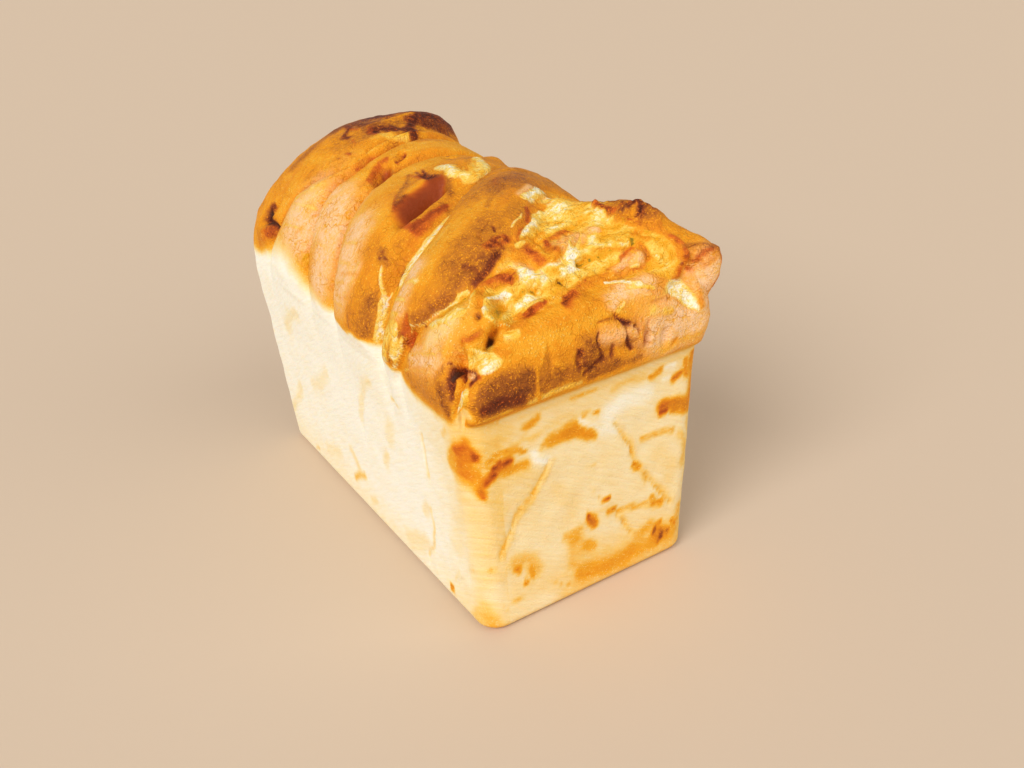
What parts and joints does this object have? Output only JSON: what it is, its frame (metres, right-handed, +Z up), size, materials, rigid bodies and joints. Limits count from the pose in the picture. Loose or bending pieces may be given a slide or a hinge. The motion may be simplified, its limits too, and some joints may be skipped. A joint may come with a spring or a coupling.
{
  "type": "cheese pull-apart bread",
  "caption": "Tin-baked pull-apart loaf with square pale sides and a tall golden crown of rolled dough lobes, melted cheese and dark blistered crust.",
  "frame": {"origin": "middle of the flat base that the loaf rests on", "axes": "+Z up; +Y along the loaf's length, from the end with the cheese-filled front roll (at -Y) to the tall back lobe; +X across, towards the side where the crown overhangs the tin-formed wall"},
  "size_m": [0.1219, 0.2202, 0.1625],
  "materials": {
    "crust": "baked crust: golden to dark brown and slightly glossy on the crown, pale cream and matt on the tin-formed sides"
  },
  "bodies": {
    "root": {"loaf": "crust"}
  },
  "joints": []
}
